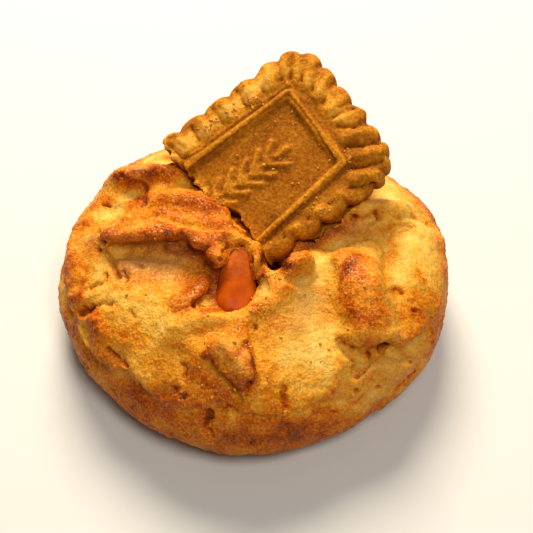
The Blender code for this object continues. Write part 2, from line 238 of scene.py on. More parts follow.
def pick(piece):
    """Make one piece the only selected and active one."""
    bpy.ops.object.select_all(action="DESELECT")
    piece.select_set(True)
    bpy.context.view_layer.objects.active = piece


def copy_of_node(node, name):
    """A free copy of a modelled piece, its loose triangles merged."""
    piece = bpy.data.objects.new(name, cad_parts[node].data.copy())
    bpy.context.scene.collection.objects.link(piece)
    pick(piece)
    bpy.ops.object.mode_set(mode="EDIT")
    bpy.ops.mesh.select_all(action="SELECT")
    bpy.ops.mesh.remove_doubles(threshold=MERGED * MM)
    bpy.ops.object.mode_set(mode="OBJECT")
    return piece


def work(piece, kind, **settings):
    """Add a modifier and apply it at once."""
    pick(piece)
    modifier = piece.modifiers.new(kind.lower(), kind)
    for name, value in settings.items():
        setattr(modifier, name, value)
    bpy.ops.object.modifier_apply(modifier=modifier.name)


def points_of(piece):
    """The piece's vertices in millimetres, as rows."""
    flat = np.empty(len(piece.data.vertices) * 3)
    piece.data.vertices.foreach_get("co", flat)
    return flat.reshape(-1, 3) / MM


def surface_of(piece):
    """What rays are cast on, in millimetres."""
    faces = [face.vertices[:] for face in piece.data.polygons]
    return BVHTree.FromPolygons(points_of(piece).tolist(), faces)


def seen(surface, path):
    """The places on a surface that the photo shows at these pixels, or those nearest to them."""
    eye = AIM + TO_CAMERA * CAMERA_DISTANCE
    places = []
    for x, y in path:
        right = Vector((1, 0, 0)) * (x - PHOTO_SIDE / 2) / PIXELS_A_MM
        up = PICTURE_UP * (PHOTO_SIDE / 2 - y) / PIXELS_A_MM
        ray = right + up - TO_CAMERA * CAMERA_DISTANCE
        place = surface.ray_cast(eye, ray)[0]
        if place is None:
            past = [surface.find_nearest(eye + ray * share) for share in ALONG_A_RAY]
            place = min(past, key=lambda found: found[3])[0]
        places.append(place)
    return np.array(places)


def nearness(points, path, reach, sharp=False):
    """1 on a path, falling to 0 past its reach: smoothly, or as a sharp edge."""
    span = reach * (SHARP_END if sharp else SOFT_END)
    inside = np.all((points > path.min(0) - span) & (points < path.max(0) + span), axis=1)
    some = points[inside]
    best = np.linalg.norm(some - path[0], axis=1)
    for start, stop in zip(path, path[1:]):
        run = stop - start
        share = np.clip((some - start) @ run / (run @ run), 0, 1)
        best = np.minimum(best, np.linalg.norm(some - start - share[:, None] * run, axis=1))
    near = np.zeros(len(points))
    near[inside] = np.exp(-best / reach) if sharp else np.exp(-((best / reach) ** 2))
    return near


def drawn(points, surface, strokes, sharp=False):
    """What strokes of (amount, reach, path) come to at the points, added up."""
    return sum(amount * nearness(points, seen(surface, path), reach, sharp)
               for amount, reach, path in strokes)


# Blender's noise vectors start from the clock unless they are seeded
WAVER_SEED = 1
noise.seed_set(WAVER_SEED)


def wavered(points, size, amount):
    """The points moved about by a smooth noise, so that what is drawn on them has uneven edges."""
    return points + amount * np.array([noise.noise_vector(Vector(p) / size) for p in points])


def push(piece, name, height):
    """Push the surface out, or in where the height is below 0, in millimetres at each vertex."""
    for way, side in (("in", -1), ("out", 1)):
        amount = np.clip(height * side, 0, None)
        most = amount.max()
        if most <= 0:
            continue
        group = piece.vertex_groups.new(name=f"{name}_{way}")
        for i in np.nonzero(amount > FAINT * most)[0]:
            group.add([int(i)], float(amount[i] / most), "REPLACE")
        work(piece, "DISPLACE", vertex_group=group.name, mid_level=0.0,
             strength=float(side * most * MM))


def roughen(piece, name, size, strength, hard=False):
    """Raise and sink the surface by a cloudy pattern of one grain size, in millimetres."""
    pattern = bpy.data.textures.new(name, "CLOUDS")
    pattern.noise_scale = size * MM
    pattern.noise_type = "HARD_NOISE" if hard else "SOFT_NOISE"
    work(piece, "DISPLACE", texture=pattern, texture_coords="LOCAL", mid_level=0.5,
         strength=strength * MM)


def thin_underside(piece, share):
    """Melt together the faces of the flat underside, leaving a share of all the piece's faces."""
    group = piece.vertex_groups.new(name="underside")
    for i in np.nonzero(points_of(piece)[:, 2] < UNDERSIDE)[0]:
        group.add([int(i)], 1.0, "REPLACE")
    work(piece, "DECIMATE", ratio=share, vertex_group=group.name)


def knit_finer(piece, close):
    """Split the faces that touch the marked vertices."""
    mesh = piece.data
    corners = np.empty(len(mesh.loops), int)
    mesh.loops.foreach_get("vertex_index", corners)
    starts = np.empty(len(mesh.polygons), int)
    mesh.polygons.foreach_get("loop_start", starts)
    pick(piece)
    bpy.ops.object.mode_set(mode="EDIT")
    bpy.ops.mesh.select_mode(type="FACE")
    bpy.ops.mesh.select_all(action="DESELECT")
    bpy.ops.object.mode_set(mode="OBJECT")
    mesh.polygons.foreach_set("select", np.logical_or.reduceat(close[corners], starts))
    bpy.ops.object.mode_set(mode="EDIT")
    bpy.ops.mesh.subdivide(number_cuts=1)
    bpy.ops.object.mode_set(mode="OBJECT")


def lobe_of_dough(middle, half_sizes, turn):
    """A rounded lump, its place and turn kept in its mesh."""
    bpy.ops.object.select_all(action="DESELECT")
    bpy.ops.mesh.primitive_uv_sphere_add(segments=32, ring_count=16, radius=MM)
    lobe = bpy.context.active_object
    lobe.scale = half_sizes
    lobe.rotation_euler.z = math.radians(turn)
    lobe.location = Vector(middle) * MM
    bpy.ops.object.transform_apply(location=True, rotation=True, scale=True)
    return lobe


def cling(piece, node, reach, share, open_at):
    """Draw the piece's surface on to a modelled neighbour that it touches, over a share of it."""
    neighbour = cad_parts[node]
    surface = surface_of(neighbour)
    group = piece.vertex_groups.new(name=f"cling_{node}")
    for i, point in enumerate(points_of(piece)):
        found = surface.find_nearest(Vector(point), reach)
        if found[0] is not None:
            pull = min(1.0, CLING_PULL * (1 - found[3] / reach))
            patch = noise.noise(Vector(point) / CLING_PATCH) + share - 0.5
            pull *= min(1.0, max(0.0, 0.5 + CLING_EDGE * patch))
            pull *= 1.0 - open_at[i]
            group.add([i], pull, "REPLACE")
    work(piece, "SHRINKWRAP", target=neighbour, vertex_group=group.name,
         wrap_method="NEAREST_SURFACEPOINT", wrap_mode="OUTSIDE_SURFACE", offset=CLING_OFF * MM)


crust = copy_of_node("dough", "crust")
work(crust, "SUBSURF", levels=1, render_levels=1)
lobes = [lobe_of_dough(*lobe) for lobe in LOBES]
for lobe in lobes:
    lobe.select_set(True)
crust.select_set(True)
bpy.context.view_layer.objects.active = crust
bpy.ops.object.join()
work(crust, "REMESH", mode="VOXEL", voxel_size=CRUST_VOXEL * MM)
work(crust, "SMOOTH", factor=0.5, iterations=4)
thin_underside(crust, FACES_LEFT)

blank = surface_of(crust)
points = wavered(points_of(crust), *FORM_WAVER)
push(crust, "forms", drawn(points, blank, FORMS))
push(crust, "gaps", -drawn(points, blank, GAPS))
roughen(crust, "lumps", *LUMPS, hard=True)
roughen(crust, "wrinkles", *WRINKLES, hard=True)
blank = surface_of(crust)
points = points_of(crust)
close = drawn(points, blank, [(1, FINER_PAST + width, path) for depth, width, path in CRACKS])
close += drawn(points, blank, [(1, FINER_PAST + width, path) for depth, width, path in PITS])
knit_finer(crust, close > FINER_OVER)
points = wavered(points_of(crust), *CRACK_WAVER)
cracked = drawn(points, blank, [(min(1, depth), width, path) for depth, width, path in CRACKS],
                sharp=True)
pitted = drawn(points, blank, [(1, width, path) for depth, width, path in PITS])
push(crust, "cracks", -drawn(points, blank, CRACKS, sharp=True))
push(crust, "pits", -drawn(points, blank, PITS))

# Seeded dents and small holes round the wall and the back, which the photo doesn't show: how many,
# how deep, wide and high up (mm), and how far out the rays start that find their places (mm)
WALL_DENTS = 150
DENT_DEPTHS = (0.2, 0.7)
DENT_WIDTHS = (0.4, 2.0)
DENT_HEIGHTS = (2.5, 19)
RAY_START = 60
throw = random.Random(3)
dents = []
for _ in range(WALL_DENTS):
    bearing = throw.uniform(0, 2 * math.pi)
    outside = Vector((RAY_START * math.cos(bearing), RAY_START * math.sin(bearing),
                      throw.uniform(*DENT_HEIGHTS)))
    place = blank.ray_cast(outside, Vector((-outside.x, -outside.y, 0)))[0]
    dents.append((throw.uniform(*DENT_DEPTHS), throw.uniform(*DENT_WIDTHS), np.array([place])))
dented = sum(nearness(points, place, width) for depth, width, place in dents)
push(crust, "dents", sum(-depth * nearness(points, place, width) for depth, width, place in dents))
roughen(crust, "crumb", *CRUMB, hard=True)
points = points_of(crust)
standing_off = drawn(points, blank, [(1, OPEN_REACH * reach, path) for depth, reach, path in GAPS])
standing_off = np.clip(standing_off * OPEN_FIRMNESS, 0, 1)
cling(crust, "biscuit", *TO_BISCUIT, standing_off)
cling(crust, "apple_wedge", *TO_APPLE, standing_off)


def level_base(piece):
    """Keep the underside flat on the floor."""
    points = points_of(piece)
    points[:, 2] = np.where(points[:, 2] < ON_THE_FLOOR, 0.0, points[:, 2])
    piece.data.vertices.foreach_set("co", (points * MM).ravel())
    piece.data.update()


level_base(crust)


def smoothed(piece, values, rounds):
    """Values at the vertices, each averaged with its neighbours for some rounds."""
    ends = np.empty(len(piece.data.edges) * 2, int)
    piece.data.edges.foreach_get("vertices", ends)
    a, b = ends.reshape(-1, 2).T
    count = len(piece.data.vertices)
    share = np.bincount(a, minlength=count) + np.bincount(b, minlength=count) + 1.0
    values = values.reshape(count, -1).copy()
    for _ in range(rounds):
        total = values.copy()
        for column in range(values.shape[1]):
            total[:, column] += np.bincount(a, weights=values[b, column], minlength=count)
            total[:, column] += np.bincount(b, weights=values[a, column], minlength=count)
        values = total / share[:, None]
    return values


def crest_of(piece, rounds):
    """How far each vertex stands above its surroundings, in millimetres."""
    points = points_of(piece)
    normals = np.empty(len(points) * 3)
    piece.data.vertices.foreach_get("normal", normals)
    return ((points - smoothed(piece, points, rounds)) * normals.reshape(-1, 3)).sum(1)


def keep(piece, name, values):
    """Keep a value at each vertex for the material to read."""
    layer = piece.data.attributes.new(name, "FLOAT", "POINT")
    layer.data.foreach_set("value", np.asarray(values, np.float32).ravel())


# How brown the crust is (0 pale, 1 nearly black) where no field says otherwise: the top, the side,
# and what broad patches of this size (mm) add to each; the pale patches of the top are greyer
TOP_BROWNED = 0.40
TOP_BY_PATCH = 0.30
GREY_BY_PATCH = -0.5
SIDE_BROWNED = 0.45
SIDE_BY_PATCH = 0.15
PATCH_SIZE = 13
# The side starts at this height and is full this much lower (mm)
SIDE_TOP = 15.5
SIDE_FADE = 4.0
# What stands out browns more: the rounds that find its surroundings, how much browner it gets for
# each mm, and the least and the most of it
CREST_ROUNDS = 60
BY_CREST = 0.16
BY_CREST_LIMITS = (-0.15, 0.10)
# How much darker cracks, pits and the seeded dents are painted, as painted shade in them, and the
# darkest that anything gets
CRACK_PIT_SHADE = 0.50
DENT_SHADE = 0.12
DARKEST = 0.94

# How brown (0 pale, 1 nearly black) and how grey (0 to 1) the crust is painted: the oven's browning
# and, where marked, painted shade or a painted highlight; the reach (mm) and the path (pixels), broad
# fields first
FIELDS = (
    # the top, from left to right
    (0.42, 0.00, 4.5, ((75, 250), (75, 285))),
    (0.58, 0.00, 2.2, ((63, 254), (65, 276))),
    (0.12, 0.15, 4.5, ((98, 290), (122, 300), (150, 320))),
    (0.04, 0.05, 3.0, ((158, 330), (182, 330))),
    (0.33, 0.00, 5.0, ((140, 352), (170, 366), (186, 352))),
    (0.50, 0.10, 3.0, ((104, 356), (114, 376), (140, 393))),
    (0.56, 0.10, 3.0, ((165, 398), (205, 404), (242, 404))),
    (0.62, 0.00, 2.4, ((128, 394), (146, 406), (168, 411))),
    (0.24, 0.00, 3.0, ((256, 402), (282, 400))),
    (0.38, 0.00, 2.6, ((292, 409), (316, 406), (336, 398))),
    # painted shade on the side, under the step of the crust's edge
    (0.70, 0.10, 3.0, ((228, 439), (270, 437), (304, 430))),
    (0.28, 1.00, 4.2, ((306, 296), (304, 325))),
    (0.05, 0.05, 4.6, ((292, 356), (318, 362), (322, 345))),
    (0.20, 0.00, 2.6, ((283, 384), (318, 386), (345, 374))),
    (0.42, 0.00, 3.2, ((253, 330), (262, 360), (263, 388))),
    (0.42, 0.05, 4.6, ((360, 262), (367, 290), (366, 312))),
    (0.10, 0.00, 6.0, ((410, 246), (420, 262), (412, 280))),
    (0.06, 0.00, 5.0, ((384, 188), (400, 200), (420, 222))),
    (0.42, 0.00, 2.6, ((418, 300), (430, 306), (420, 320), (398, 330))),
    (0.04, 0.10, 2.4, ((356, 210), (384, 210))),
    # painted shade in the holes between the lumps
    (0.48, 0.00, 0.7, ((353, 214), (362, 218), (372, 212), (384, 212))),
    (0.26, 0.75, 2.4, ((336, 232), (342, 240), (368, 226))),
    (0.48, 0.35, 1.4, ((345, 244), (360, 237), (382, 233))),
    (0.24, 0.45, 3.6, ((366, 366), (392, 370), (420, 344))),
    (0.26, 0.25, 3.6, ((344, 396), (380, 394))),
    # the crown
    # painted shade under the biscuit's lower right edge
    (0.74, 0.25, 1.6, ((304, 246), (320, 240), (338, 230))),
    (0.95, 0.00, 0.9, ((312, 241), (324, 234))),
    # painted shade in the gap under the biscuit's broken edge
    (0.90, 0.00, 0.7, ((240, 226), (247, 235))),
    # painted shade in the gap beside the apple's left side
    (0.90, 0.00, 0.6, ((214, 270), (213, 290))),
    (0.44, 0.00, 2.2, ((296, 266), (304, 256))),
    (0.46, 0.00, 0.8, ((304, 256), (310, 252))),
    (0.18, 0.10, 1.3, ((320, 260), (326, 268), (310, 284))),
    (0.26, 0.50, 2.0, ((264, 284), (268, 292), (260, 297))),
    (0.38, 0.00, 1.9, ((240, 316), (264, 308), (281, 296), (290, 282))),
    (0.20, 0.00, 1.7, ((196, 317), (218, 316), (238, 315))),
    (0.32, 0.00, 1.9, ((250, 240), (254, 250), (257, 264))),
    (0.36, 0.00, 1.5, ((254, 262), (256, 274))),
    # painted shade under the yellow lobe and in the crack round its foot
    (0.54, 0.10, 0.9, ((252, 276), (259, 275))),
    (0.80, 0.00, 0.5, ((265, 262), (266, 272), (263, 281), (256, 285), (249, 282))),
    # the left fold
    (0.56, 0.15, 1.8, ((102, 238), (120, 235), (132, 234))),
    (0.42, 0.00, 1.8, ((130, 219), (150, 220), (172, 224), (188, 226))),
    (0.50, 0.05, 1.1, ((144, 236), (160, 234), (182, 234))),
    (0.76, 0.10, 0.8, ((160, 232), (168, 231))),
    (0.70, 0.00, 0.6, ((110, 246), (122, 246), (140, 242), (158, 240), (178, 238))),
    (0.60, 0.15, 2.0, ((196, 236), (208, 242), (222, 240))),
    (0.36, 0.00, 1.2, ((216, 254), (222, 248))),
    (0.92, 0.00, 0.8, ((188, 241), (203, 252), (213, 263))),
    (0.26, 0.00, 1.2, ((232, 232), (246, 239))),
    # painted shade in the crater behind the apple
    (1.10, 0.00, 1.3, ((264, 258), (271, 262), (278, 266), (285, 263))),
    # the pocket under it and the torn flap
    # painted shade under the fold's lip, down its right end and over the pocket's floor
    (0.62, 0.15, 1.4, ((126, 250), (150, 248), (166, 247))),
    (1.00, 0.00, 1.6, ((168, 247), (186, 249), (199, 259))),
    (0.64, 0.10, 1.6, ((200, 266), (208, 280))),
    (0.58, 0.95, 3.0, ((132, 262), (156, 264), (176, 264))),
    (0.60, 0.05, 2.6, ((190, 276), (198, 286))),
    (0.42, 0.10, 1.6, ((176, 300), (190, 298))),
    # painted shade beside and below the apple's left side
    (0.76, 0.10, 1.4, ((214, 276), (214, 292), (211, 302))),
    (0.62, 0.05, 1.5, ((204, 311), (222, 310), (240, 307))),
    (0.54, 0.00, 1.6, ((204, 330), (214, 336), (222, 328))),
    # painted shade in the crevice under the flap's edge
    (0.60, 0.00, 0.4, ((178, 308), (190, 305), (202, 300), (210, 292))),
    (0.12, 0.60, 0.8, ((208, 300), (204, 306))),
    # the left bulge
    (0.60, 0.00, 1.3, ((71, 264), (86, 269))),
    (0.60, 0.00, 1.0, ((85, 284), (80, 296), (70, 304))),
    (0.06, 0.30, 0.7, ((99, 244),)),
    (0.52, 0.00, 0.9, ((96, 310), (102, 324), (105, 340))),
    (0.20, 0.10, 2.0, ((80, 322), (84, 344))),
    # behind on the left
    (0.05, 0.00, 3.0, ((152, 158), (164, 152))),
    (0.57, 0.00, 3.2, ((164, 207), (190, 208), (212, 216))),
    (0.64, 0.00, 1.8, ((186, 204), (200, 208))),
    # painted shade along the gap under the biscuit's broken edge
    (0.78, 0.05, 1.5, ((198, 184), (214, 198), (232, 214), (242, 226))),
    (0.08, 0.00, 1.6, ((158, 162), (176, 167), (192, 175))),
    (0.84, 0.05, 1.5, ((118, 177), (134, 171), (150, 171))),
    # painted shade in the recess and hole below the ridge
    (0.98, 0.00, 1.4, ((129, 187), (141, 188), (145, 204))),
    (0.08, 0.40, 2.2, ((118, 206), (130, 199))),
    (0.08, 0.00, 2.0, ((96, 216), (112, 213))),
    (0.50, 0.00, 1.8, ((104, 192), (95, 204))),
    # the front lump
    # painted shade on the drop in front of the lump
    (0.68, 0.00, 2.2, ((198, 374), (213, 386), (232, 398))),
    (0.50, 0.00, 1.2, ((208, 350), (224, 336), (250, 328))),
    # painted highlight on the facet that faces the light
    (0.32, 0.40, 2.0, ((222, 352), (238, 346), (240, 364))),
    # painted shade along the facet's lower left edge
    (0.80, 0.00, 0.8, ((204, 354), (216, 368), (230, 382), (246, 394))),
    (0.72, 0.00, 0.8, ((249, 342), (252, 362), (249, 390))),
    # the right bulge
    (0.66, 0.05, 1.4, ((356, 254), (348, 264), (343, 276))),
    (0.54, 0.00, 1.8, ((348, 300), (353, 315), (370, 320))),
    (0.22, 0.05, 1.8, ((354, 333), (384, 334), (396, 330))),
    (0.45, 0.00, 1.3, ((393, 241), (388, 262), (386, 285), (393, 292))),
    (0.50, 0.00, 1.1, ((420, 273), (423, 279))),
    (0.40, 0.00, 0.9, ((414, 214), (430, 224))),
)

points = points_of(crust)
crest = crest_of(crust, CREST_ROUNDS)
broad = np.array([noise.fractal(Vector(p) / PATCH_SIZE, 1.0, 2.0, 3) for p in points])
browned = TOP_BROWNED + TOP_BY_PATCH * broad
greyed = np.clip(GREY_BY_PATCH * broad, 0, 1)
side = np.clip((SIDE_TOP - points[:, 2]) / SIDE_FADE, 0, 1)
browned += side * (SIDE_BROWNED + SIDE_BY_PATCH * broad - browned)
greyed -= side * greyed
brushed = wavered(points, *BROWN_WAVER)
for brown, grey, reach, path in FIELDS:
    near = nearness(brushed, seen(blank, path), reach)
    browned += near * (brown - browned)
    greyed += near * (grey - greyed)
browned += np.clip(crest * BY_CREST, *BY_CREST_LIMITS)
# Painted shade in the cracks, pits and dents
browned += CRACK_PIT_SHADE * np.clip(cracked + pitted, 0, 1)
browned += DENT_SHADE * np.clip(dented, 0, 1)
# The browned values hold the oven's browning together with the painted shade and painted highlight of
# the fields, and the painted shade of the cracks, pits and dents
keep(crust, "browned", np.clip(browned, 0, DARKEST))
keep(crust, "greyed", np.clip(greyed, 0, 1))


def linear(hex_colour):
    """A screen colour written as six hex digits, in linear light with full opacity."""
    channels = [int(hex_colour[i:i + 2], 16) / 255 for i in (0, 2, 4)]
    return tuple(c / 12.92 if c <= 0.04045 else ((c + 0.055) / 1.055) ** 2.4 for c in channels) + (1,)


def add_node(material, kind, sockets=None, **settings):
    """One shader node: its settings, then its sockets, each set to a value or joined to an output."""
    tree = material.node_tree
    node = tree.nodes.new("ShaderNode" + kind)
    for name, value in settings.items():
        setattr(node, name, value)
    for socket, value in (sockets or {}).items():
        if isinstance(value, bpy.types.NodeSocket):
            tree.links.new(value, node.inputs[socket])
        else:
            node.inputs[socket].default_value = value
    return node


def new_material(name):
    """An empty material, ready for its nodes."""
    material = bpy.data.materials.new(name)
    material.use_nodes = True
    material.node_tree.nodes.clear()
    return material


def mottled(material, value, patterns):
    """A value changed by patterns of (output, its low and high end, what is added at each end)."""
    for output, low, high, at_low, at_high in patterns:
        change = add_node(material, "MapRange",
                          {"Value": output, "From Min": low, "From Max": high, "To Min": at_low,
                           "To Max": at_high})
        value = add_node(material, "Math", {0: value, 1: change.outputs["Result"]},
                         operation="ADD").outputs[0]
    return value


def set_ramp(node, stops):
    """Give a colour ramp its stops of (place, hex colour)."""
    ramp = node.color_ramp
    while len(ramp.elements) < len(stops):
        ramp.elements.new(0.5)
    for element, (place, hex_colour) in zip(ramp.elements, stops):
        element.position = place
        element.color = linear(hex_colour)


# Baked butter dough: a matt starch crust with a fine mottle and glints of fat, darker where it stood
# up into the oven's heat and where shade is painted into its values. Sizes (mm) of its blotches of
# browning, grain, the grain's cells and glints
CRUST_BLOTCHES = 5
CRUST_GRAIN = 0.6
CRUST_CELLS = 0.5
CRUST_GLINTS = 0.45
MOIST_GREY = "B08A52"
FAT_GOLD = "FFE4BC"
CRUST_STOPS = (
    (0.00, "DDB964"),
    (0.18, "DAA644"),
    (0.36, "D08C25"),
    (0.52, "C26E12"),
    (0.66, "A94F0C"),
    (0.80, "8A3A0A"),
    (0.92, "6C2C08"),
    (1.00, "521F07"),
)


def baked_crust():
    """Browned and painted with shade by the crust's own values, then mottled, and glossier the
    browner it is.
    """
    material = new_material("baked_crust")
    place = add_node(material, "TexCoord").outputs["Object"]
    brown = add_node(material, "Attribute", attribute_name="browned").outputs["Fac"]
    grey = add_node(material, "Attribute", attribute_name="greyed").outputs["Fac"]
    blotch = add_node(material, "TexNoise",
                      {"Vector": place, "Scale": 1 / (CRUST_BLOTCHES * MM), "Detail": 5.0,
                       "Roughness": 0.65})
    grain = add_node(material, "TexNoise",
                     {"Vector": place, "Scale": 1 / (CRUST_GRAIN * MM), "Detail": 2.0,
                      "Roughness": 0.6})
    cells = add_node(material, "TexVoronoi",
                     {"Vector": place, "Scale": 1 / (CRUST_CELLS * MM), "Randomness": 1.0})
    edges = cells.outputs["Distance"]
    total = mottled(material, brown, ((blotch.outputs["Fac"], 0.3, 0.7, -0.17, 0.17),
                                      (grain.outputs["Fac"], 0.3, 0.7, 0.11, -0.11),
                                      (edges, 0.0, 0.7, -0.10, 0.08)))
    ramp = add_node(material, "ValToRGB", {"Fac": total})
    set_ramp(ramp, CRUST_STOPS)
    greying = add_node(material, "Math", {0: grey, 1: 0.6}, operation="MULTIPLY")
    greyer = add_node(material, "Mix",
                      {"Factor": greying.outputs[0], 6: ramp.outputs["Color"], 7: linear(MOIST_GREY)},
                      data_type="RGBA")
    bump_grain = add_node(material, "Bump",
                          {"Height": grain.outputs["Fac"], "Strength": 0.6, "Distance": 0.28 * MM})
    bump = add_node(material, "Bump",
                    {"Height": edges, "Strength": 0.6, "Distance": 0.16 * MM,
                     "Normal": bump_grain.outputs["Normal"]}, invert=True)
    rough = add_node(material, "MapRange",
                     {"Value": total, "From Min": 0.2, "From Max": 0.9, "To Min": 0.46,
                      "To Max": 0.32})
    glints = add_node(material, "TexNoise",
                      {"Vector": place, "Scale": 1 / (CRUST_GLINTS * MM), "Detail": 1.0,
                       "Roughness": 0.5})
    greasy = add_node(material, "MapRange",
                      {"Value": glints.outputs["Fac"], "From Min": 0.52, "From Max": 0.66,
                       "To Min": 0.04, "To Max": 0.8})
    shader = add_node(material, "BsdfPrincipled",
                      {"Base Color": greyer.outputs[2], "Roughness": rough.outputs["Result"],
                       "Specular IOR Level": greasy.outputs["Result"],
                       "Specular Tint": linear(FAT_GOLD),
                       "IOR": 1.45, "Normal": bump.outputs["Normal"],
                       "Subsurface Weight": 0.22, "Subsurface Scale": 1.0 * MM,
                       "Subsurface Radius": (1.0, 0.5, 0.2)})
    add_node(material, "OutputMaterial", {"Surface": shader.outputs["BSDF"]})
    return material


def coat(piece, material):
    """Give a piece its one material, shaded smooth."""
    piece.data.materials.clear()
    piece.data.materials.append(material)
    piece.data.shade_smooth()


coat(crust, baked_crust())
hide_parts("dough")
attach(crust, "root")


# The wedge of cooked apple
# A slice of apple cooked soft in spiced syrup, glossy and slightly see-through. It is held by the
# dough it was baked in, with a film of browned dough over its upper end.

APPLE_VOXEL = 0.22
# The side that swells by the dough: rise, reach (mm) and path (pixels)
FLANK = ((0.9, 2.2, ((224, 268), (220, 284), (222, 300))),)
# The uneven cut flesh: size and height of its bumps (mm)
FLESH = (2.4, 0.15)

apple = copy_of_node("apple_wedge", "apple_slice")
work(apple, "SUBSURF", levels=1, render_levels=1)
work(apple, "REMESH", mode="VOXEL", voxel_size=APPLE_VOXEL * MM)
work(apple, "SMOOTH", factor=0.5, iterations=6)
push(apple, "flank", drawn(points_of(apple), surface_of(apple), FLANK))
roughen(apple, "flesh", *FLESH)

# Apple cooked in syrup: wet, so it shines softly, and light goes 1.5 mm into it. Sizes (mm) of its
# clouds and of the film's mottle, and the heights (mm) between which the film thickens
FLESH_CLOUDS = 3
FLESH_STOPS = ((0.3, "9C3800"), (0.7, "BC5400"))
FILM_MOTTLE = 1.1
FILM_FOOT = 26.6
FILM_TOP = 30.2
FILM_BROWN = "B86428"


def cooked_apple():
    """Clouded flesh under a film of browned dough that thickens upwards in patches."""
    material = new_material("cooked_apple")
    place = add_node(material, "TexCoord").outputs["Object"]
    flesh = add_node(material, "TexNoise",
                     {"Vector": place, "Scale": 1 / (FLESH_CLOUDS * MM), "Detail": 3.0,
                      "Roughness": 0.5})
    ramp = add_node(material, "ValToRGB", {"Fac": flesh.outputs["Fac"]})
    set_ramp(ramp, FLESH_STOPS)
    bump = add_node(material, "Bump",
                    {"Height": flesh.outputs["Fac"], "Strength": 0.2, "Distance": 0.3 * MM})
    film = add_node(material, "TexNoise",
                    {"Vector": place, "Scale": 1 / (FILM_MOTTLE * MM), "Detail": 3.0,
                     "Roughness": 0.7})
    mottle = add_node(material, "MapRange",
                      {"Value": film.outputs["Fac"], "From Min": 0.35, "From Max": 0.65,
                       "To Min": -0.3, "To Max": 0.3}).outputs["Result"]
    height = add_node(material, "SeparateXYZ", {"Vector": place}).outputs["Z"]
    rising = add_node(material, "MapRange",
                      {"Value": height, "From Min": FILM_FOOT * MM, "From Max": FILM_TOP * MM,
                       "To Min": -0.1, "To Max": 0.9}).outputs["Result"]
    filmed = add_node(material, "Math", {0: rising, 1: mottle},
                      operation="ADD", use_clamp=True)
    coloured = add_node(material, "Mix",
                        {"Factor": filmed.outputs[0], 6: ramp.outputs["Color"],
                         7: linear(FILM_BROWN)}, data_type="RGBA")
    shader = add_node(material, "BsdfPrincipled",
                      {"Base Color": coloured.outputs[2], "Roughness": 0.36, "IOR": 1.38,
                       "Normal": bump.outputs["Normal"], "Subsurface Weight": 0.25,
                       "Specular IOR Level": 0.12, "Subsurface Scale": 1.5 * MM,
                       "Subsurface Radius": (1.0, 0.3, 0.05)})
    add_node(material, "OutputMaterial", {"Surface": shader.outputs["BSDF"]})
    return material


coat(apple, cooked_apple())
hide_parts("apple_wedge")
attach(apple, "root")


# The snapped spiced biscuit
# Half of a thin pressed biscuit, dark with cinnamon and burnt sugar, moulded with a fluted rim, a
# raised frame and an ear of wheat. It was broken by hand and pushed into the warm crown.

BISCUIT_VOXEL = 0.26

# The biscuit's place and axes: along it from its short end to the break, across it, out of its face
BISCUIT_PLACE = Vector((13.5, 18.1, 39.2))
BISCUIT_SLOPE = math.radians(28.4)
BISCUIT_SLOPE_BEARING = math.radians(-112.4)
BISCUIT_LENGTH_BEARING = math.radians(-151.4)
BISCUIT_OUT = Vector((math.sin(BISCUIT_SLOPE) * math.cos(BISCUIT_SLOPE_BEARING),
                      math.sin(BISCUIT_SLOPE) * math.sin(BISCUIT_SLOPE_BEARING),
                      math.cos(BISCUIT_SLOPE)))
HEADING = Vector((math.cos(BISCUIT_LENGTH_BEARING), math.sin(BISCUIT_LENGTH_BEARING), 0))
BISCUIT_ALONG = (HEADING - Vector((0, 0, HEADING.dot(BISCUIT_OUT) / BISCUIT_OUT.z))).normalized()
BISCUIT_ACROSS = BISCUIT_OUT.cross(BISCUIT_ALONG)
# How deep the panel inside the frame lies (mm)
PANEL_DEPTH = 0.9

# Grooves between the flutes of the rim (pixels), from the edge in to the frame
FLUTE_DEPTH = 0.9
FLUTE_WIDTH = 0.42
FLUTES = (
    ((171, 146), (182, 158)), ((190, 127), (199, 140)), ((212, 108), (222, 122)),
    ((235, 91), (246, 106)), ((256, 72), (264, 92)), ((277, 58), (281, 80)),
    ((291, 56), (291, 79)), ((305, 54), (301, 82)), ((321, 65), (312, 90)),
    ((335, 82), (322, 102)), ((354, 108), (334, 117)), ((370, 123), (354, 127), (338, 126)),
    ((379, 142), (362, 146), (345, 147)), ((382, 162), (366, 166), (350, 168)),
    ((374, 184), (363, 187), (350, 187)), ((350, 211), (330, 203)), ((330, 230), (308, 218)),
    ((306, 246), (284, 237)),
)
# Crests of the flutes
CREST_RISE = 0.5
CREST_REACH = 1.15
CRESTS = (
    ((180, 140), (190, 152)), ((200, 120), (208, 132)), ((222, 102), (232, 116)),
    ((245, 84), (254, 100)), ((266, 67), (272, 86)), ((284, 60), (286, 80)),
    ((298, 57), (297, 80)), ((313, 62), (307, 85)), ((328, 76), (317, 95)),
    ((345, 98), (328, 110)), ((364, 113), (338, 119)), ((375, 132), (343, 138)),
    ((380, 152), (350, 157)), ((376, 174), (352, 177)), ((360, 197), (342, 196)),
    ((342, 219), (318, 211)), ((318, 238), (296, 227)),
)
# The frame's crest, and the foot of its inner side
FRAME_CREST = (
    (0.30, 0.50, ((186, 161), (205, 146), (230, 126), (256, 107), (288, 85))),
    (0.30, 0.50, ((288, 85), (303, 99), (320, 122), (336, 147), (344, 162))),
    (0.30, 0.50, ((344, 164), (328, 182), (300, 204), (280, 222), (262, 240))),
    (-0.35, 0.45, ((194, 166), (213, 152), (240, 131), (264, 112), (287, 95))),
    (-0.35, 0.45, ((288, 95), (300, 109), (316, 131), (334, 160))),
)

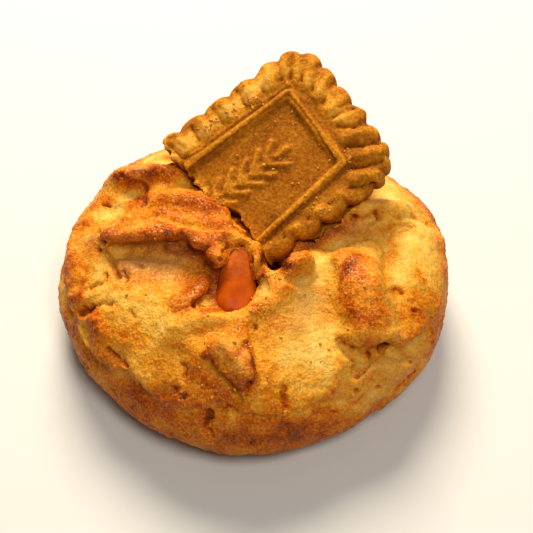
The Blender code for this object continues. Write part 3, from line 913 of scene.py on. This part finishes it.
# Where the margin outside the frame is painted paler, a painted highlight (a little darker on the
# right, as painted shade): how much, reach (mm) and path (pixels)
MARGINS = (
    (0.60, 1.7, ((176, 152), (200, 134), (232, 108), (262, 84))),
    (0.30, 1.8, ((270, 72), (300, 70), (322, 92), (345, 124))),
    (-0.06, 1.8, ((358, 140), (362, 165), (352, 188))),
    (0.08, 1.6, ((336, 206), (312, 226), (288, 246))),
)

# The ear of wheat pressed into the middle of the whole biscuit: grains in pairs up a stalk, which
# start this far below its tip and beside its middle, and a shorter grain at the tip (mm)
EAR_TIP = 8.5
EAR_STEP = 3.3
EAR_PAIRS = 6
FIRST_PAIR = 2.6
FIRST_STEP = 0.6
TIP_SHARE = 0.8
GRAIN_ASIDE = 0.9
GRAIN_LENGTH = 3.6
GRAIN_TILT = math.radians(36)
GRAIN_RISE = 0.65
GRAIN_REACH = 0.75
MOST_EAR = 1.1

# How the mould's strokes and the paler margin waver: size and width of the waves (mm)
MOULD_WAVER = (1.6, 0.22)
MARGIN_WAVER = (1.6, 0.4)
# The broken edge: where along the biscuit it starts, over what length, the size of its crags and how
# far they stand out (mm)
BREAK_START = 23.5
BREAK_LENGTH = 3.0
CRAG_SIZE = 1.3
CRAG_RISE = 0.5
# The sandy surface: size and height of its grains (mm)
SAND = (0.8, 0.18)
# How pale the face is, the rounds that find its surroundings, and how much paler a crest is for each
# mm that it stands out, a painted highlight on the crests and painted shade in the grooves
FACE_PALE = 0.39
FACE_ROUNDS = 30
PALE_BY_CREST = 0.7


def on_biscuit(x, y):
    """A place on the biscuit's panel, in millimetres along and across it."""
    return np.array(BISCUIT_PLACE + BISCUIT_ALONG * x + BISCUIT_ACROSS * y
                    - BISCUIT_OUT * PANEL_DEPTH)


def wheat_ear():
    """The paths of the ear's stalk and grains."""
    paths = [[on_biscuit(EAR_TIP, 0), on_biscuit(EAR_TIP + GRAIN_LENGTH * TIP_SHARE, 0)]]
    for pair in range(EAR_PAIRS):
        root = EAR_TIP + FIRST_PAIR + EAR_STEP * (pair + FIRST_STEP)
        paths.append([on_biscuit(root, 0), on_biscuit(root + EAR_STEP, 0)])
        for side in (-1, 1):
            start = (root, side * GRAIN_ASIDE)
            stop = (root - GRAIN_LENGTH * math.cos(GRAIN_TILT),
                    side * (GRAIN_ASIDE + GRAIN_LENGTH * math.sin(GRAIN_TILT)))
            paths.append([on_biscuit(*start), on_biscuit(*stop)])
    return paths


biscuit = copy_of_node("biscuit", "pressed_biscuit")
work(biscuit, "REMESH", mode="VOXEL", voxel_size=BISCUIT_VOXEL * MM)
work(biscuit, "SMOOTH", factor=0.5, iterations=4)
face = surface_of(biscuit)
points = wavered(points_of(biscuit), *MOULD_WAVER)
relief = drawn(points, face, [(CREST_RISE, CREST_REACH, path) for path in CRESTS])
relief -= drawn(points, face, [(FLUTE_DEPTH, FLUTE_WIDTH, path) for path in FLUTES], sharp=True)
relief += drawn(points, face, FRAME_CREST)
ear = sum(nearness(points, np.array(path), GRAIN_REACH) for path in wheat_ear())
relief += GRAIN_RISE * np.clip(ear, 0, MOST_EAR)
push(biscuit, "moulding", relief)
along = (points_of(biscuit) - np.array(BISCUIT_PLACE)) @ np.array(BISCUIT_ALONG)
torn = np.clip((along - BREAK_START) / BREAK_LENGTH, 0, 1)
ragged = np.array([noise.noise(Vector(p) / CRAG_SIZE) for p in points_of(biscuit)])
push(biscuit, "torn", CRAG_RISE * torn * ragged)
roughen(biscuit, "sand", *SAND)
crest = crest_of(biscuit, FACE_ROUNDS)
# Painted highlight on the margins, added to the crests' painted highlight and the grooves' painted
# shade
baked = drawn(wavered(points_of(biscuit), *MARGIN_WAVER), face, MARGINS)
keep(biscuit, "crest", np.clip(FACE_PALE + PALE_BY_CREST * crest + baked, 0, 1))

# Pressed biscuit, dry with a fine sandy crumb, so it hardly shines. Sizes (mm) of its grains and of
# its patches of browning
BISCUIT_GRAIN = 0.6
BISCUIT_PATCH = 6
BISCUIT_STOPS = ((0.05, "643406"), (0.30, "8E5009"), (0.50, "AA6810"), (0.72, "CC8822"),
                 (0.95, "E4A848"))


def spiced_biscuit():
    """Paler on its crests and margins by the biscuit's own values, which hold painted highlight and
    painted shade, with a sandy mottle.
    """
    material = new_material("spiced_biscuit")
    place = add_node(material, "TexCoord").outputs["Object"]
    crest = add_node(material, "Attribute", attribute_name="crest").outputs["Fac"]
    sand = add_node(material, "TexNoise",
                    {"Vector": place, "Scale": 1 / (BISCUIT_GRAIN * MM), "Detail": 3.0,
                     "Roughness": 0.7})
    patch = add_node(material, "TexNoise",
                     {"Vector": place, "Scale": 1 / (BISCUIT_PATCH * MM), "Detail": 3.0})
    total = mottled(material, crest, ((sand.outputs["Fac"], 0.3, 0.7, -0.20, 0.20),
                                      (patch.outputs["Fac"], 0.3, 0.7, -0.12, 0.12)))
    ramp = add_node(material, "ValToRGB", {"Fac": total})
    set_ramp(ramp, BISCUIT_STOPS)
    bump = add_node(material, "Bump",
                    {"Height": sand.outputs["Fac"], "Strength": 0.8, "Distance": 0.25 * MM})
    shader = add_node(material, "BsdfPrincipled",
                      {"Base Color": ramp.outputs["Color"], "Roughness": 0.6, "IOR": 1.45,
                       "Specular IOR Level": 0.08, "Normal": bump.outputs["Normal"]})
    add_node(material, "OutputMaterial", {"Surface": shader.outputs["BSDF"]})
    return material


coat(biscuit, spiced_biscuit())
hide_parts("biscuit")
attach(biscuit, "root")


# The crumbs
# Golden grains that broke off the biscuit and the crust. They lie along the biscuit's frame and its
# broken edge, in the crater behind the apple and thinly over the crown.

# Radii of the grains (mm), how far each is stretched or squeezed, and the size and height of the
# bumps that break up their round form (mm)
CRUMB_SIZES = (0.10, 0.34)
CRUMB_STRETCH = (0.7, 1.4)
BROKEN = (0.25, 0.4)
# Where crumbs lie on the biscuit and on the crust: how many, spread (pixels) and path (pixels)
BISCUIT_CRUMBS = (
    (28, 4, ((198, 134), (214, 120), (236, 108))),
    (14, 3, ((246, 103), (262, 97))),
    (44, 2, ((196, 181), (212, 198), (232, 212), (246, 224))),
    (16, 3, ((246, 226), (256, 242), (264, 246))),
    (20, 4, ((300, 200), (322, 214), (344, 196))),
    (10, 3, ((344, 150), (350, 160), (346, 176))),
    (26, 26, ((250, 150), (300, 150))),
)
CRUST_CRUMBS = (
    (16, 3, ((264, 272), (280, 272))),
    (14, 4, ((246, 234), (258, 240))),
    (10, 4, ((204, 300), (210, 306))),
    (12, 4, ((256, 310), (266, 300))),
    (60, 34, ((140, 320), (260, 350), (370, 300))),
)

chance = random.Random(7)


def crumbs_on(piece, lists):
    """Small broken grains along the paths, half sunk in the piece."""
    surface = surface_of(piece)
    grains = []
    for count, spread, path in lists:
        for _ in range(count):
            leg = chance.randrange(len(path) - 1)
            share = chance.random()
            x, y = (path[leg][i] + share * (path[leg + 1][i] - path[leg][i]) + chance.gauss(0, spread)
                    for i in (0, 1))
            place = Vector(seen(surface, ((x, y),))[0])
            size = chance.uniform(*CRUMB_SIZES)
            bpy.ops.object.select_all(action="DESELECT")
            bpy.ops.mesh.primitive_ico_sphere_add(subdivisions=2, radius=size * MM,
                                                  location=place * MM)
            grain = bpy.context.active_object
            grain.scale = [chance.uniform(*CRUMB_STRETCH) for _ in range(3)]
            grain.rotation_euler = [chance.uniform(0, math.pi) for _ in range(3)]
            grains.append(grain)
    return grains


grains = crumbs_on(biscuit, BISCUIT_CRUMBS) + crumbs_on(crust, CRUST_CRUMBS)
pick(grains[0])
for grain in grains:
    grain.select_set(True)
bpy.ops.object.join()
crumbs = bpy.context.active_object
crumbs.name = "crumbs"
bpy.ops.object.transform_apply(location=True, rotation=True, scale=True)
roughen(crumbs, "broken", *BROKEN)

# Broken crumb, golden like the inside of a biscuit, in shades of this size (mm)
CRUMB_SHADES = 0.8
CRUMB_STOPS = ((0.3, "A96514"), (0.7, "D69A3C"))


def crumb_gold():
    """Two golds that change from grain to grain."""
    material = new_material("crumb_gold")
    place = add_node(material, "TexCoord").outputs["Object"]
    shade = add_node(material, "TexNoise",
                     {"Vector": place, "Scale": 1 / (CRUMB_SHADES * MM)})
    ramp = add_node(material, "ValToRGB", {"Fac": shade.outputs["Fac"]})
    set_ramp(ramp, CRUMB_STOPS)
    shader = add_node(material, "BsdfPrincipled",
                      {"Base Color": ramp.outputs["Color"], "Roughness": 0.5, "IOR": 1.45,
                       "Specular IOR Level": 0.3})
    add_node(material, "OutputMaterial", {"Surface": shader.outputs["BSDF"]})
    return material


coat(crumbs, crumb_gold())
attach(crumbs, "root")


# The floor, lights and camera
# A plain pale floor with soft edges to its shadows: a broad window behind, a weaker fill light before
# the cookie, and the room's own faint light.

FLOOR_SIDE = 3.0
FLOOR_PALE = "C6C8D4"
# What the lights are turned to, then each one's name, place, width (m), power (W) and colour
LIT_PLACE = (0, 0, 0.015)
LIGHTS = (
    ("window", (-0.05, 0.46, 0.50), 0.36, 8.4, "FFF0CC"),
    ("fill", (0.15, -0.30, 0.66), 0.30, 3.2, "FFF5DA"),
)
ROOM_COLOUR = "FFF4E6"
ROOM_LIGHT = 0.14
# The width of the camera's sensor (mm), and how near it sees (m)
SENSOR = 36.0
NEAREST = 0.01

bpy.ops.object.select_all(action="DESELECT")
bpy.ops.mesh.primitive_plane_add(size=FLOOR_SIDE, location=(0, 0, 0))
floor = bpy.context.active_object
floor.name = "floor"
floor_paint = new_material("floor_paint")
floor_shader = add_node(floor_paint, "BsdfPrincipled",
                        {"Base Color": linear(FLOOR_PALE), "Roughness": 0.7})
add_node(floor_paint, "OutputMaterial", {"Surface": floor_shader.outputs["BSDF"]})
floor.data.materials.append(floor_paint)


def soft_light(name, place, width, power, hex_colour):
    """A round panel of light, turned to the cookie."""
    light = bpy.data.lights.new(name, "AREA")
    light.shape = "DISK"
    light.size = width
    light.energy = power
    light.color = linear(hex_colour)[:3]
    lamp = bpy.data.objects.new(name, light)
    bpy.context.scene.collection.objects.link(lamp)
    lamp.location = place
    lamp.rotation_euler = (Vector(LIT_PLACE) - Vector(place)).to_track_quat("-Z", "Y").to_euler()


for light in LIGHTS:
    soft_light(*light)

world = bpy.data.worlds.new("room")
bpy.context.scene.world = world
world.use_nodes = True
backdrop = world.node_tree.nodes["Background"]
backdrop.inputs["Color"].default_value = linear(ROOM_COLOUR)
backdrop.inputs["Strength"].default_value = ROOM_LIGHT
bpy.context.scene.view_settings.view_transform = "Standard"

lens = bpy.data.cameras.new("camera")
lens.sensor_width = SENSOR
lens.lens = PIXELS_A_MM * CAMERA_DISTANCE * SENSOR / PHOTO_SIDE
lens.clip_start = NEAREST
camera = bpy.data.objects.new("camera", lens)
bpy.context.scene.collection.objects.link(camera)
camera.location = (AIM + TO_CAMERA * CAMERA_DISTANCE) * MM
camera.rotation_euler = (math.pi / 2 - CAMERA_ELEVATION, 0, 0)
bpy.context.scene.camera = camera
